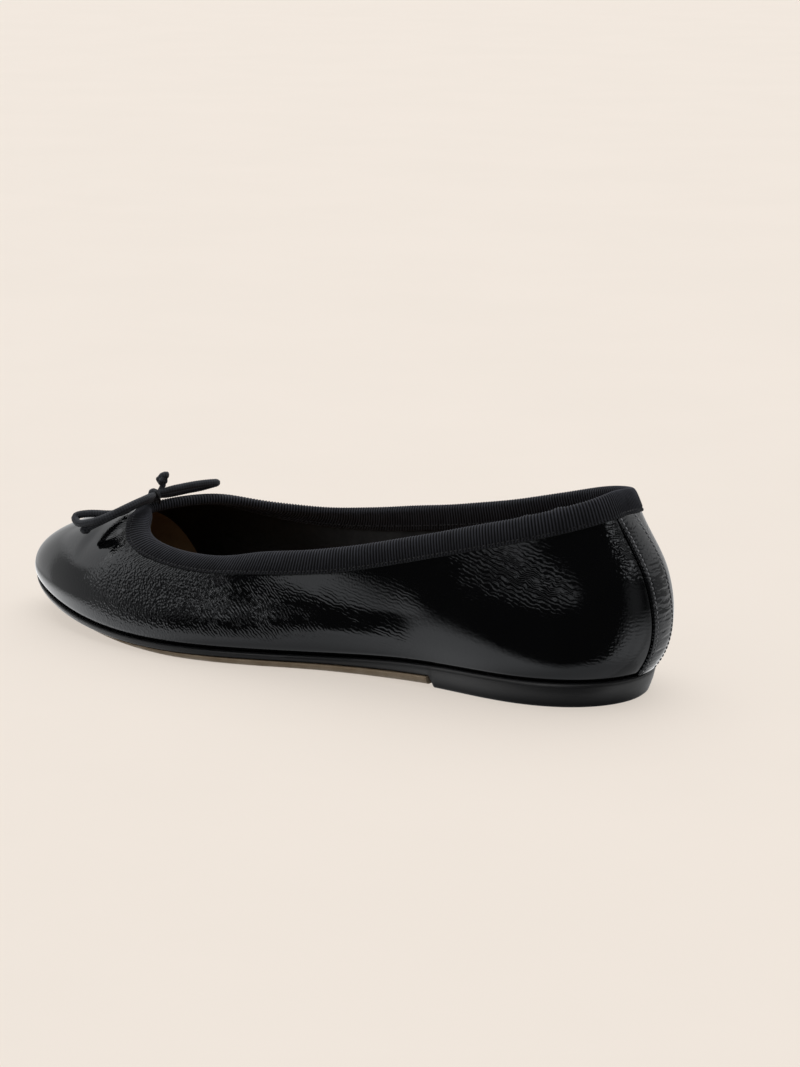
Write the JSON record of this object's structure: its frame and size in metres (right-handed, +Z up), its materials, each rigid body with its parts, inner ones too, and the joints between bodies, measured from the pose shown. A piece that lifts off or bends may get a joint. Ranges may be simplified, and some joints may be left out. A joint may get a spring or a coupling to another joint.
{
  "type": "ballet flat",
  "caption": "Black patent slip-on ballet flat with a round toe, a ribbon binding round the topline, a strip down the heel, a low heel and a small cord bow.",
  "frame": {"origin": "on the ground, under the centre of the shoe's length and width", "axes": "+X to the toe, +Y to the outer side of this left shoe, +Z up"},
  "size_m": [0.2511, 0.0817, 0.0694],
  "materials": {
    "patent": "high-gloss black patent with a fine crinkle",
    "ribbon": "matte black grosgrain",
    "sole_edge": "satin black",
    "outsole": "plain tan sole leather",
    "insole": "smooth orange-brown leather",
    "cord": "matte black braided cord"
  },
  "bodies": {
    "root": {"upper": "patent", "topline_binding": "ribbon", "heel_strip": "patent", "sole": "sole_edge", "outsole": "outsole", "insole": "insole", "bow_knot": "cord", "bow_loop_outer": "cord", "bow_loop_inner": "cord", "bow_end_outer": "cord", "bow_end_inner": "cord"}
  },
  "joints": []
}
